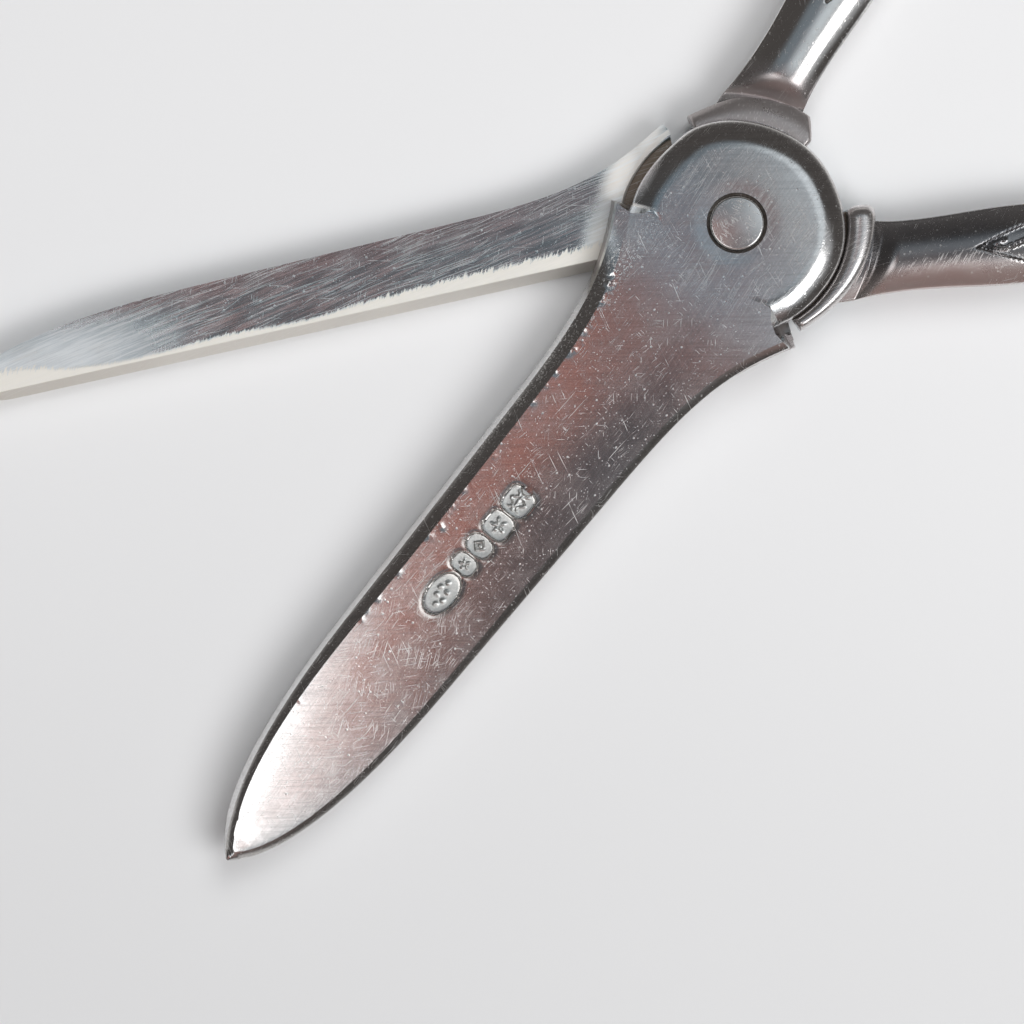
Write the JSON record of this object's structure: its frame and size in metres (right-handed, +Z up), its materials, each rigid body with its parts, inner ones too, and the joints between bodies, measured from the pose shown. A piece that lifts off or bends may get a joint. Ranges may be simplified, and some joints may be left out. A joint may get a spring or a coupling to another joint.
{
  "type": "grape shears",
  "caption": "Pair of small silver shears with a broad spear-shaped upper blade, a narrow lower blade, a round riveted lap joint and long handles with oval finger bows.",
  "frame": {"origin": "on the pivot axis, at the flat underside of the joint that rests on the table", "axes": "+X towards the tips, midway between the two open blades; +Z up, along the pivot axis; +Y to the side of the rear arm's handle"},
  "size_m": [0.1557, 0.117, 0.0057],
  "materials": {
    "blade_silver": "sterling silver, polished, with the fine scratches of long use",
    "handle_silver": "sterling silver, polished, the sunk panels matted and darkened",
    "rivet_silver": "sterling silver, filed flush and worn dull"
  },
  "bodies": {
    "rear_arm": {"rear_blade": "blade_silver", "rear_handle": "handle_silver", "pivot_rivet": "rivet_silver"},
    "front_arm": {"front_blade": "blade_silver", "front_handle": "handle_silver"}
  },
  "joints": [
    {"name": "pivot", "type": "hinge", "parent": "rear_arm", "child": "front_arm", "pos_m": [0, 0, 0], "axis": [0, 0, 1], "range_deg": [-38.8, 2.8]}
  ]
}
